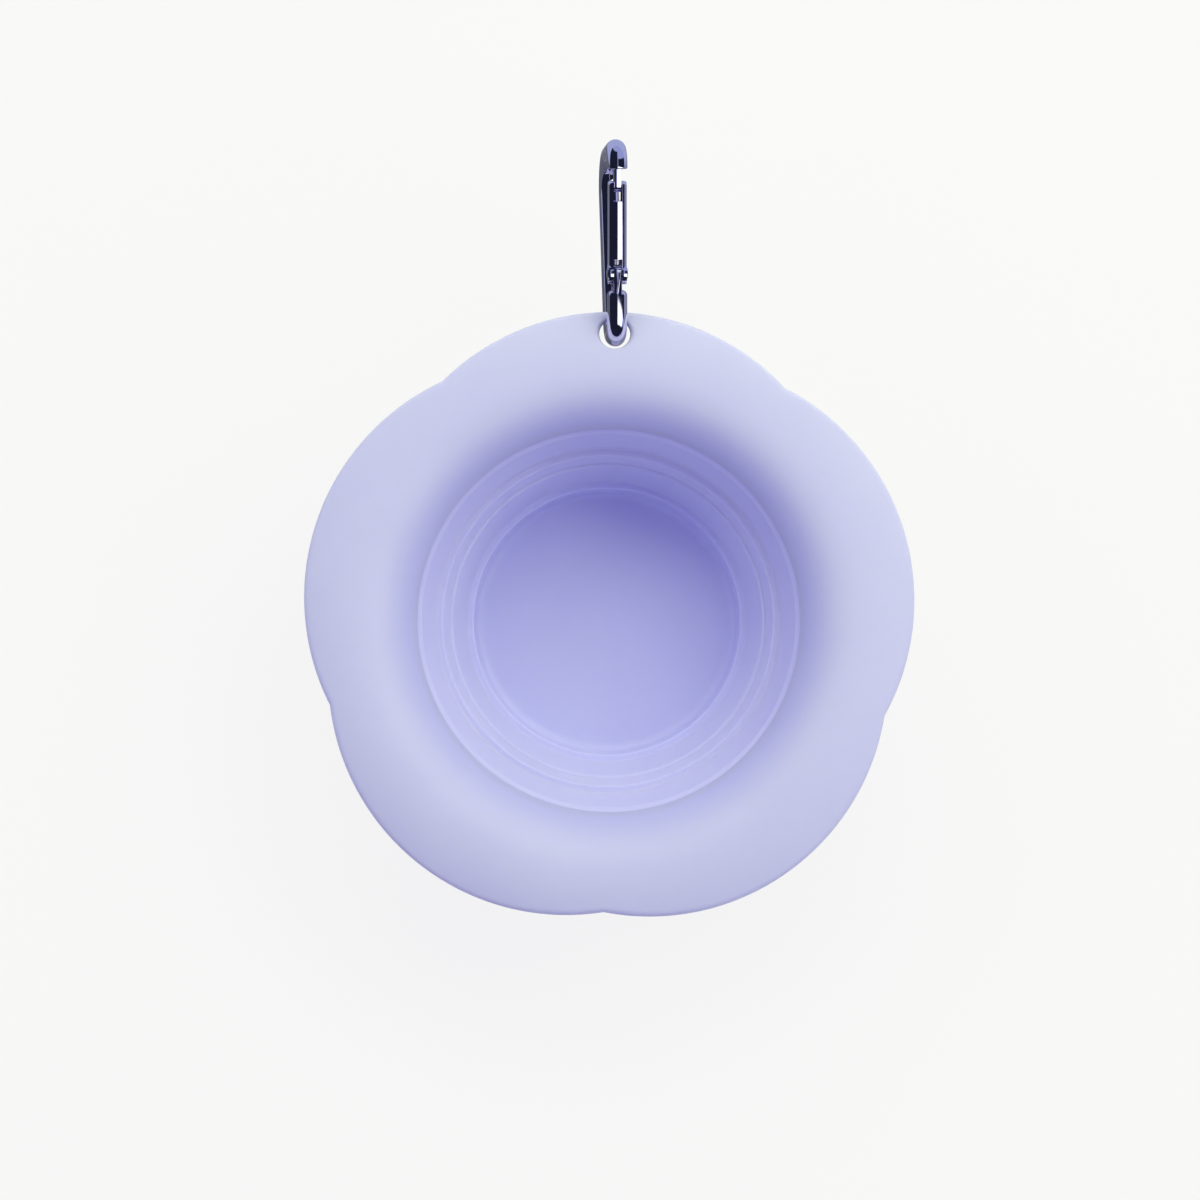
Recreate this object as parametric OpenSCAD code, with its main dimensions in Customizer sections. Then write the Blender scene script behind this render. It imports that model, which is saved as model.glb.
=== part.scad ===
// Collapsible bowl with a flower rim and a snap hook, standing on its base with its mouth up.

/* [Rim] */
// Number of petals round the rim
petal_count = 5; // [4:1:7]
// Radius of each petal's outer arc
petal_r = 58.2; // [55:0.2:62]
// Distance from the bowl's axis to each petal's centre
petal_shift = 17.7; // [15:0.1:20]
// Radius of the crest, the highest circle of the rim
crest_r = 61.4; // [60.4:0.2:62.4]
// Bend radius of the slope from the crest out to the petals
outer_bend = 36; // [32:1:48]
// Bend radius of the slope from the crest into the bowl
inner_bend = 17.5; // [16:0.5:22]
// Width of the inner slope, from the crest in to the lip
lip_run = 13.5; // [12.6:0.1:14.4]
// Thickness of the rim's sheet
rim_wall = 2.4; // [2:0.1:3]
// Radius of the rounding along the petals' edge
edge_r = 1.6; // [1.4:0.1:2.2]

/* [Hang hole] */
// Radius of the hole for the snap hook
hole_r = 3.8; // [3.6:0.1:4.2]
// Width of the strip between the hole and the petal's tip
strip_w = 1.9; // [1.6:0.1:2.4]
// Rounding of the hole's two edges, as a share of half the sheet's thickness
hole_soft = 0.9; // [0.3:0.05:0.9]
// Distance from the petal's tip to the axis that the hook swings on
swing_in = 1.05; // [0.9:0.05:1.2]

/* [Folding wall] */
// Height of the base cup up to its shoulder
base_h = 11.4; // [9:0.2:15]
// Height of the lower fold
lower_h = 13.6; // [10:0.2:17]
// Height of the middle ring
ring_h = 4.4; // [3.6:0.2:6]
// Height of the upper fold
upper_h = 14.2; // [10:0.2:18]
// Thickness of the two folds, measured along the radius
fold_wall = 2.2; // [1.8:0.1:2.6]
// Thickness of the thin lines that the folds turn on
hinge_wall = 1.1; // [0.8:0.1:1.4]
// Height of those thin lines
hinge_h = 1.2; // [0.8:0.1:1.8]
// How far the upper fold's top edge stands inside the lip
lip_step = 1.8; // [1.4:0.1:2]
// How far the upper fold's top hinge stands outside the lip's inner edge
lip_lap = 0.2; // [0.1:0.1:0.6]
// Depth of the groove behind the top edge of each fold
groove_dip = 0.5; // [0.2:0.1:0.7]
// Radius of the middle ring's ridge
ring_r = 41.8; // [41:0.1:42.4]
// Thickness of the middle ring at its top
ring_wall = 3.6; // [3.2:0.1:4.2]
// How far the ring's inner face draws in towards its bottom
ring_lean = 1.7; // [1.2:0.1:2]
// How far the ring's outer face draws in towards its bottom
ring_taper = 2.6; // [2:0.1:3]
// Offset of the lower fold's hinge from the ring's inner bottom edge
ring_step = 0.4; // [0.3:0.1:0.8]
// Radius of the base cup's ridge
cup_r = 34.4; // [33.6:0.1:35]
// Thickness of the base cup's wall at its shoulder
cup_wall = 3; // [2.8:0.1:3.6]
// Height of the ridges over their shoulders
ridge_h = 0.6; // [0.3:0.1:1]
// Width of the ridges
ridge_w = 1.2; // [1:0.1:1.4]
// Radius of the roundings along the rings' edges
bead_round = 0.5; // [0.2:0.1:0.5]

/* [Base] */
// Radius of the floor inside the cup
floor_r = 33; // [31:0.2:33.6]
// Thickness of the floor
floor_t = 2.6; // [2:0.1:3.4]
// Fillet between the floor and the cup's wall
floor_fillet = 2.2; // [1:0.1:4]
// Outer radius of the foot
foot_r = 35.4; // [34:0.2:36.4]
// Rounding of the foot's outer edge
foot_round = 1.2; // [0.5:0.1:2]
// Width of the flat ring that the bowl stands on
foot_w = 6; // [4:0.5:12]
// Depth of the hollow under the floor
foot_hollow = 0.6; // [0.3:0.1:1]

/* [Snap hook] */
// Diameter of the hook's rod
rod_d = 5; // [4.4:0.1:5.4]
// Length of the hook over all
hook_len = 50; // [47:0.5:56]
// Bend radius of the rod's middle line where it goes through the hang hole
bend_r = 5.05; // [4.9:0.05:5.2]
// Lean of the two long sides away from the hook's middle line, in degrees
hook_lean = 9.5; // [7:0.5:11]
// Bend radius of the corner that ends in the nose
nose_bend = 4; // [3.6:0.1:4.6]
// Bend radius of the corner at the top of the spine
spine_bend = 8; // [6:0.5:10]
// Turn of the hook about its own length as it hangs in the hole, in degrees
hook_twist = 4.6; // [0:0.2:8]
// Turn of the hook to one side of its petal, in degrees
hook_yaw = 2; // [0:0.5:5]
// Length of the short side up to its shoulder
leg_len = 6.7; // [5:0.1:6.8]
// Rounding of the short side's shoulder
end_round = 1.4; // [0.8:0.1:1.8]
// Straight length of rod at the nose
nose_end = 0.5; // [0.5:0.1:1.5]
// Rounding of the nose's end
nose_round = 0.4; // [0.2:0.05:0.45]
// Distance from the end of the narrow bend to the rivet
pivot_t = 10.7; // [10.2:0.1:11.4]
// Thickness of the flattened tongue and of the nose's neck
tongue_t = 1.8; // [1.5:0.1:2]
// Width of the tongue
tongue_w = 4.6; // [4:0.1:4.8]
// Rounding of the tongue's two corners
tongue_round = 0.8; // [0.4:0.1:1.2]
// How far the tongue reaches past the rivet's axis
tongue_reach = 1.8; // [1.7:0.1:2.2]
// Width of the nose's neck
neck_w = 3.2; // [2.4:0.1:3.8]
// How far the neck reaches into the gate
neck_lap = 2.7; // [1.6:0.1:3]

/* [Gate] */
// Width across the gate's flat sides
gate_w = 4.4; // [4.2:0.1:4.8]
// Radius of the gate's round front and back
gate_r = 2.6; // [2.5:0.1:2.9]
// Gap between the gate's tip and the rod's end
nose_gap = 2.9; // [2.2:0.1:3.2]
// Play on each side of the tongue and the neck in their slots
slot_play = 0.15; // [0.1:0.05:0.25]
// Depth of the slot at the rivet, from the rivet's axis
tongue_slot = 3.6; // [3.4:0.1:4.4]
// Depth of the slot that takes the neck
neck_slot = 4.9; // [4.6:0.1:5.6]
// Rounding of the gate's tip
tip_round = 1; // [0.4:0.1:1.2]
// Radius of the rivet
rivet_r = 1; // [0.8:0.05:1.1]
// Running clearance of the rivet in the tongue
rivet_play = 0.05; // [0.02:0.01:0.1]
// Radius of the rivet's heads
rivet_head_r = 1.5; // [1.3:0.05:1.8]
// Height of the rivet's heads
rivet_head_h = 0.45; // [0.35:0.05:0.6]
// Rounding of the heads' edges
rivet_dome = 0.3; // [0.1:0.05:0.3]
// Radius of the bore for the plunger and its spring
bore_r = 1; // [0.9:0.05:1.05]
// Solid length between the end of that bore and the slot for the neck
bore_wall = 1.6; // [1:0.2:3]
// Running clearance of the plunger in its bore
plunger_play = 0.05; // [0.03:0.01:0.1]
// Share of the bore's depth that the plunger fills
plunger_share = 0.22; // [0.15:0.01:0.3]
// Rounding of the plunger's tip
plunger_round = 0.5; // [0.2:0.1:0.6]
// Gap between the plunger and the tongue
plunger_gap = 0.08; // [0.05:0.01:0.2]
// Diameter of the spring's wire
wire_d = 0.36; // [0.3:0.02:0.42]
// Rise of the spring in one turn, before it is rounded to whole turns
spring_lead = 0.95; // [0.9:0.05:1.2]
// Clearance of the spring in its bore and at its two ends
spring_play = 0.06; // [0.04:0.01:0.1]

/* [Hidden] */
$fn = 96;

silicone = [0.72, 0.73, 0.89];
silicone_thin = [0.66, 0.67, 0.87];
chrome = [0.80, 0.81, 0.86];
steel = [0.62, 0.63, 0.68];

// Levels of the folding wall, from the table up
ring_z = base_h + lower_h;
upper_z = ring_z + ring_h;
lip_z = upper_z + upper_h;

// Rim: the crest stands over the lip by the drop of the inner slope
lip_r = crest_r - lip_run;
crest_z = lip_z + inner_bend - sqrt(pow(inner_bend, 2) - pow(lip_run, 2));
tip_r = petal_shift + petal_r;
half_petal = 180 / petal_count;
cusp_r = petal_shift * cos(half_petal) + sqrt(pow(petal_r, 2) - pow(petal_shift * sin(half_petal), 2));

// Slope of the outer rim at a radius, and the height of the middle of its sheet
function rim_slope(r) = asin((r - crest_r) / outer_bend);
function rim_mid(r) = crest_z - outer_bend + (outer_bend - rim_wall / 2) * cos(rim_slope(r));

// The rounding along a petal's edge lies in a plane that follows the rim's slope
edge_run = tip_r - cusp_r * cos(half_petal);
edge_tilt = atan2(rim_mid(cusp_r - edge_r) - rim_mid(tip_r - edge_r), edge_run);
edge_z = rim_mid(tip_r - edge_r) + (petal_r - edge_r) * tan(edge_tilt);

// Hang hole and the axis that the hook swings on, in the strip outside it
hole_y = tip_r - strip_w - hole_r;
hole_round = hole_soft * rim_wall / 2;
swing_y = tip_r - swing_in;
swing_z = rim_mid(swing_y);

// Outer radii of the ring's and the cup's shoulders, and the inner radii of the two folds
ring_out = ring_r + ring_wall;
ring_bottom_in = ring_r - ridge_w / 2 - ring_lean;
cup_out = cup_r + cup_wall;
upper_foot_in = ring_r + ridge_w / 2;
upper_top_in = lip_r - lip_step;
upper_hinge_in = lip_r + lip_lap;
lower_foot_in = cup_r + ridge_w / 2;
lower_hinge_in = ring_bottom_in + ring_step;
lower_top_in = lower_hinge_in + hinge_wall - fold_wall;

// Hook: its centre line lies in one plane, with u along the hook and w towards the gate
rod_r = rod_d / 2;
top_u = hook_len - bend_r - rod_d;
nose_u = top_u - nose_bend;
nose_w = (bend_r - nose_bend + nose_u * sin(hook_lean)) / cos(hook_lean);
nose_t = nose_u * cos(hook_lean) + nose_w * sin(hook_lean);
spine_u = top_u - spine_bend;
spine_w = -(bend_r - spine_bend + spine_u * sin(hook_lean)) / cos(hook_lean);
spine_t = spine_u * cos(hook_lean) - spine_w * sin(hook_lean);

// Gate: measured from the rivet along the gate
gate_len = nose_t - nose_end - nose_gap - pivot_t;
slot_w = tongue_t + 2 * slot_play;
bore_depth = gate_len - neck_slot - bore_wall - tongue_slot;
plunger_r = bore_r - plunger_play;
plunger_x = tongue_reach + plunger_gap;
plunger_len = tongue_slot - plunger_x + bore_depth * plunger_share;
spring_x = plunger_x + plunger_len + spring_play;
spring_end = tongue_slot + bore_depth - spring_play;
spring_r = bore_r - spring_play - wire_d / 2;
spring_turns = max(1, round((spring_end - spring_x) / spring_lead));

// An amount by which a cutter reaches past the face that it cuts
over = 1;

// Points of an outline whose corners are rounded: each corner is [x, y, radius]
function rounded(corners, steps = 5) = [
  for (i = [0 : len(corners) - 1])
    let (
      n = len(corners),
      p = [corners[i].x, corners[i].y],
      before = corners[(i + n - 1) % n],
      after = corners[(i + 1) % n],
      a = unit([before.x, before.y] - p),
      b = unit([after.x, after.y] - p),
      half = acos(max(-1, min(1, a * b))) / 2,
      r = corners[i].z,
      centre = p + unit(a + b) * r / sin(half),
      from = p + a * r / tan(half) - centre,
      to = p + b * r / tan(half) - centre
    )
      each r == 0 ? [p] : [for (k = [0 : steps]) centre + r * unit(from * (steps - k) + to * k)]
];
function unit(v) = v / norm(v);

// Half-section of a thin fold: a sloping band that turns on a thinner line at its top and at its foot.
// The upper line has its groove on the inside and the lower one on the outside.
module fold_section(foot_in, top_in, hinge_in, z, h) {
  low = z + hinge_h;
  high = z + h - hinge_h;
  foot_out = foot_in + fold_wall;
  top_out = top_in + fold_wall;
  polygon(rounded([
    [foot_in + hinge_wall, z, 0],
    [foot_in + hinge_wall, low - bead_round / 2, 0],
    [foot_out, low, bead_round],
    [top_out, high, 0],
    [hinge_in + hinge_wall, z + h, 0],
    [hinge_in, z + h, 0],
    [top_out - hinge_wall, high - groove_dip, bead_round / 2],
    [top_in, high, bead_round],
    [foot_in, z + ridge_h, 0],
    [foot_in, z, 0],
  ]));
}

// Half-section of the rim: two round slopes that meet at the crest
module rim_section() {
  intersection() {
    translate([crest_r, crest_z - outer_bend]) bent_sheet(outer_bend);
    translate([crest_r, 0]) square([tip_r - crest_r + over, crest_z + over]);
  }
  intersection() {
    translate([crest_r, crest_z - inner_bend]) bent_sheet(inner_bend);
    translate([crest_r - inner_bend, lip_z]) square([inner_bend, inner_bend + over]);
  }
}

module bent_sheet(bend) {
  difference() {
    circle(bend);
    circle(bend - rim_wall);
  }
}

// Plan of the rim: overlapping round petals, each with a round edge
module petals() {
  for (i = [0 : petal_count - 1])
    rotate([0, 0, 90 + i * 2 * half_petal])
      translate([petal_shift, 0, edge_z])
        rotate([0, edge_tilt, 0])
          rotate_extrude() petal_section();
}

module petal_section() {
  translate([0, -crest_z]) square([petal_r - edge_r, 2 * crest_z]);
  translate([petal_r - edge_r, 0]) circle(edge_r);
}

// Cutter for the hang hole, square to the rim's sheet, with its two edges rounded
module hang_hole() {
  flare = hole_r + hole_round;
  face = rim_wall / 2;
  translate([0, hole_y, rim_mid(hole_y)])
    rotate([-rim_slope(hole_y), 0, 0])
      rotate_extrude()
        difference() {
          translate([0, -face - over]) square([flare, 2 * (face + over)]);
          hole_edge_section(flare, face);
        }
}

// The wall of silicone that is left round the hole, with a round lip
module hole_edge_section(flare, face) {
  translate([hole_r, hole_round - face]) square([hole_round, 2 * (face - hole_round)]);
  for (side = [-1, 1])
    translate([flare, side * (face - hole_round)]) circle(hole_round);
}

module flower_rim() {
  color(silicone)
    difference() {
      intersection() {
        rotate_extrude() rim_section();
        petals();
      }
      hang_hole();
    }
}

module upper_fold() {
  color(silicone_thin)
    rotate_extrude() fold_section(upper_foot_in, upper_top_in, upper_hinge_in, upper_z, upper_h);
}

module lower_fold() {
  color(silicone_thin)
    rotate_extrude() fold_section(lower_foot_in, lower_top_in, lower_hinge_in, base_h, lower_h);
}

// The stiff ring between the folds, with a ridge along the top of its inner face
module middle_ring() {
  ridge_in = ring_r - ridge_w / 2;
  ridge_out = ring_r + ridge_w / 2;
  color(silicone)
    rotate_extrude()
      polygon(rounded([
        [ring_bottom_in, ring_z, bead_round / 2],
        [ring_out - ring_taper, ring_z, bead_round],
        [ring_out, upper_z, 0],
        [ridge_out, upper_z, 0],
        [ridge_out, upper_z + ridge_h, bead_round],
        [ridge_in, upper_z + ridge_h, bead_round],
      ]));
}

// The foot of the bowl: a stiff cup with the same ridge, a flat floor and a shallow hollow under it
module base_cup() {
  hollow_r = foot_r - foot_w;
  ridge_in = cup_r - ridge_w / 2;
  ridge_out = cup_r + ridge_w / 2;
  color(silicone)
    rotate_extrude()
      polygon(rounded([
        [0, foot_hollow, 0],
        [hollow_r, foot_hollow, 0],
        [hollow_r + foot_hollow, 0, 0],
        [foot_r, 0, foot_round],
        [cup_out, base_h, 0],
        [ridge_out, base_h, 0],
        [ridge_out, base_h + ridge_h, bead_round],
        [ridge_in, base_h + ridge_h, bead_round],
        [floor_r, floor_t, floor_fillet],
        [0, floor_t, 0],
      ]));
}

// Places the hook's own plane in the hang hole: u runs out along Y and w up along Z
module in_hook() {
  translate([0, swing_y, swing_z])
    rotate([0, 0, hook_yaw])
      rotate([0, hook_twist, 0])
        rotate([90, 0, 90])
          children();
}

// Places a piece on the hook's gate side, at a distance along it from the end of the narrow bend
module on_leg(t) {
  rotate([0, 0, hook_lean]) translate([t, bend_r, 0]) children();
}

module along_x(x = 0) {
  translate([x, 0, 0]) rotate([0, 90, 0]) children();
}

// Fineness of the rod: points round it, degrees for each step of a bend, steps of a round end
rod_sides = 28;
bend_step = 10;
end_steps = 4;

// Rings of the rod, each [u, w, direction of its outer side, radius]: two round ends and three bends
function leg_ring(t, r) = [
  t * cos(hook_lean) - bend_r * sin(hook_lean),
  t * sin(hook_lean) + bend_r * cos(hook_lean),
  90 + hook_lean,
  r,
];
function end_rings(t, way, rounding) = [
  for (k = [0 : end_steps])
    let (a = 90 * k / end_steps)
      leg_ring(t + way * rounding * (cos(a) - 1), rod_r - rounding * (1 - sin(a))),
];
function bend_rings(u, w, bend, from, to) =
  let (steps = ceil((to - from) / bend_step))
    [
      for (k = [0 : steps])
        let (a = from + (to - from) * k / steps)
          [u + bend * cos(a), w + bend * sin(a), a, rod_r],
    ];
function backwards(rings) = [for (i = [len(rings) - 1 : -1 : 0]) rings[i]];
rod_rings = concat(
  end_rings(leg_len, 1, end_round),
  bend_rings(0, 0, bend_r, 90 + hook_lean, 270 - hook_lean),
  bend_rings(spine_u, spine_w, spine_bend, 270 - hook_lean, 360),
  bend_rings(nose_u, nose_w, nose_bend, 0, 90 + hook_lean),
  backwards(end_rings(nose_t - nose_end, -1, nose_round))
);

// A tube through a list of such rings, closed at both ends
module tube(rings, sides) {
  points = [
    for (ring = rings, s = [0 : sides - 1])
      let (out = ring[3] * cos(360 * s / sides), across = ring[3] * sin(360 * s / sides))
        [ring[0] + out * cos(ring[2]), ring[1] + out * sin(ring[2]), across],
  ];
  polyhedron(points = points, faces = tube_faces(len(rings), sides));
}

function tube_faces(rings, sides) =
  let (last = (rings - 1) * sides)
    concat(
      [
        for (k = [0 : rings - 2], s = [0 : sides - 1])
          let (a = k * sides + s, b = k * sides + (s + 1) % sides)
            each [[a, b, a + sides], [b, b + sides, a + sides]],
      ],
      [for (s = [1 : sides - 2]) [0, s + 1, s]],
      [for (s = [1 : sides - 2]) [last, last + s, last + s + 1]]
    );

// The rod runs from its shoulder round the narrow bend, up the spine and over the top to its nose
module hook_frame() {
  color(chrome)
    in_hook()
      difference() {
        union() {
          tube(rod_rings, rod_sides);
          on_leg(0) tongue();
          on_leg(nose_t) neck();
        }
        on_leg(pivot_t) cylinder(r = rivet_r + rivet_play, h = rod_d, center = true);
      }
}

// The flattened end of the rod that the gate turns on
module tongue() {
  root = leg_len / 2;
  tip = pivot_t + tongue_reach;
  half = tongue_w / 2;
  translate([0, 0, -tongue_t / 2])
    linear_extrude(tongue_t)
      polygon(rounded([
        [root, -half, 0],
        [tip, -half, tongue_round],
        [tip, half, tongue_round],
        [root, half, 0],
      ]));
}

// The flat neck under the nose, with a round end that lies in the gate's slot
module neck() {
  reach = nose_end + nose_gap + neck_lap - neck_w / 2;
  translate([-reach, -neck_w / 2, -tongue_t / 2]) cube([reach + rod_r / 2, neck_w, tongue_t]);
  translate([-reach, 0, 0]) cylinder(d = neck_w, h = tongue_t, center = true);
}

// A round bar with flat sides, slotted at both ends, with a blind bore for the plunger
module hook_gate() {
  color(chrome)
    in_hook() on_leg(pivot_t)
      difference() {
        intersection() {
          union() {
            along_x() gate_bar();
            cylinder(r = gate_r, h = gate_w, center = true);
          }
          translate([-gate_r, -gate_r, -gate_w / 2]) cube([gate_len + gate_r, 2 * gate_r, gate_w]);
        }
        slot(-gate_r - over, tongue_slot);
        slot(gate_len - neck_slot, gate_len + over);
        along_x(tongue_slot - over) cylinder(r = bore_r, h = bore_depth + over);
        cylinder(r = rivet_r, h = gate_w + over, center = true);
      }
}

module gate_bar() {
  rotate_extrude()
    polygon(rounded([[0, 0, 0], [gate_r, 0, 0], [gate_r, gate_len, tip_round], [0, gate_len, 0]]));
}

module slot(from, to) {
  translate([from, -gate_r - over, -slot_w / 2]) cube([to - from, 2 * (gate_r + over), slot_w]);
}

// The pin of the gate, with a domed head on each flat side
module gate_rivet() {
  color(steel)
    in_hook() on_leg(pivot_t) {
      cylinder(r = rivet_r, h = gate_w, center = true);
      for (side = [0, 1])
        mirror([0, 0, side]) translate([0, 0, gate_w / 2]) rivet_head();
    }
}

module rivet_head() {
  rotate_extrude()
    polygon(rounded([
      [0, 0, 0],
      [rivet_head_r, 0, 0],
      [rivet_head_r, rivet_head_h, rivet_dome],
      [0, rivet_head_h, 0],
    ]));
}

// The pin that the spring presses against the tongue
module gate_plunger() {
  color(steel)
    in_hook() on_leg(pivot_t) along_x(plunger_x)
      rotate_extrude()
        polygon(rounded([
          [0, 0, 0],
          [plunger_r, 0, plunger_round],
          [plunger_r, plunger_len, 0],
          [0, plunger_len, 0],
        ]));
}

// Fineness of the spring: rings in each turn and points round the wire
spring_rings = 8;
spring_sides = 6;

// Centre line of the spring, as points along its axis
spring_pitch = (spring_end - spring_x - wire_d) / spring_turns;
function spring_point(k) =
  let (turn = k / spring_rings)
    [
      spring_x + wire_d / 2 + spring_pitch * turn,
      spring_r * cos(360 * turn),
      spring_r * sin(360 * turn),
    ];
spring_count = spring_turns * spring_rings;
spring_path = [for (k = [0 : spring_count]) spring_point(k)];

// The ring of points round the wire at one place on the centre line
function wire_ring(k) =
  let (
    turn = k / spring_rings,
    out = [0, cos(360 * turn), sin(360 * turn)],
    along = unit([spring_pitch, -2 * PI * spring_r * out.z, 2 * PI * spring_r * out.y]),
    across = cross(along, out)
  )
    [
      for (s = [0 : spring_sides - 1])
        let (a = 360 * s / spring_sides)
          spring_path[k] + wire_d / 2 * (out * cos(a) + across * sin(a)),
    ];

// The least gap between neighbouring turns of the spring
spring_gap = min([
  for (a = [0 : spring_count], b = [a + spring_rings / 2 : 1 : spring_count])
    norm(spring_path[b] - spring_path[a]) - wire_d,
]);
echo(spring_gap = spring_gap);

module gate_spring() {
  points = [for (k = [0 : spring_count]) each wire_ring(k)];
  color(steel)
    in_hook() on_leg(pivot_t)
      polyhedron(points = points, faces = tube_faces(spring_count + 1, spring_sides));
}

flower_rim();
upper_fold();
middle_ring();
lower_fold();
base_cup();
hook_frame();
hook_gate();
gate_rivet();
gate_plunger();
gate_spring();
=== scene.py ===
"""Looks of a collapsible silicone bowl with petals and a plated snap hook, in its CAD frame."""

import logging
import math
from dataclasses import dataclass
from enum import Enum
from typing import Iterable, Optional, Sequence, Union

import bpy
import numpy as np
from mathutils import Matrix, Vector


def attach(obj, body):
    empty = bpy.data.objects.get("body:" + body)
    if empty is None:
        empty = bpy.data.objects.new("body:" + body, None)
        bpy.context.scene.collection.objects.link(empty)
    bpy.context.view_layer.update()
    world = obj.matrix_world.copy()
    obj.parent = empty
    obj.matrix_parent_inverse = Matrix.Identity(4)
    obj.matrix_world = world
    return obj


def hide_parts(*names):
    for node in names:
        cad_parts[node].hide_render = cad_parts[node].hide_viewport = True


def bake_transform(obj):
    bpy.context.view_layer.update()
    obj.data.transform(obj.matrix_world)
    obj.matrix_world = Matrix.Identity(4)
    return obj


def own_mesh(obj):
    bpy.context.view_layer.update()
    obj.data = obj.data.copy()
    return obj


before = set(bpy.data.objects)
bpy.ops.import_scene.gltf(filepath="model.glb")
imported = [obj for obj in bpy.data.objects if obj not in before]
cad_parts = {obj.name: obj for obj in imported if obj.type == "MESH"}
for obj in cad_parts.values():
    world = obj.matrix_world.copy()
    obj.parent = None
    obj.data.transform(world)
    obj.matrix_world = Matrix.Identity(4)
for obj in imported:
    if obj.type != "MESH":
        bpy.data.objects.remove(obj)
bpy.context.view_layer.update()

LOG = logging.getLogger("bowl")
MM = 0.001
SAME_PLACE = 2e-7
SAME_LEVEL = 1e-7

Point = tuple[float, float]
Profile = list[Point]
Corner = tuple[float, float, float]
Place = tuple[float, float, float]
Colour = tuple[float, float, float]


class Body(Enum):
    """The moving bodies of the part."""

    BASE = "base"
    RING = "ring"
    RIM = "rim"
    HOOK = "hook"
    GATE = "gate"
    PLUNGER = "plunger"


class Slot(Enum):
    """The finishes that the part's record names."""

    SILICONE = "silicone"
    THIN = "silicone_thin"
    PLATED = "plated_zinc"
    STEEL = "steel"


class Cut(Enum):
    """What one solid does to another."""

    JOIN = "UNION"
    CUT = "DIFFERENCE"
    KEEP = "INTERSECT"


class Shade:
    """A shader value that takes part in Python sums."""

    def __init__(self, bench: "NodeBench", socket: bpy.types.NodeSocket) -> None:
        """Wraps an output socket of the bench's tree."""
        self.bench = bench
        self.socket = socket

    def __add__(self, other: "Number") -> "Shade":
        """Adds a value or a number."""
        return self.bench.maths("ADD", self, other)

    def __sub__(self, other: "Number") -> "Shade":
        """Takes a value or a number away."""
        return self.bench.maths("SUBTRACT", self, other)

    def __rsub__(self, other: "Number") -> "Shade":
        """Takes this value away from a number."""
        return self.bench.maths("SUBTRACT", other, self)

    def __mul__(self, other: "Number") -> "Shade":
        """Multiplies by a value or a number."""
        return self.bench.maths("MULTIPLY", self, other)

    def __pow__(self, other: "Number") -> "Shade":
        """Raises this value to a power."""
        return self.bench.maths("POWER", self, other)

    __radd__ = __add__
    __rmul__ = __mul__


Number = Union[Shade, float]


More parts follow.
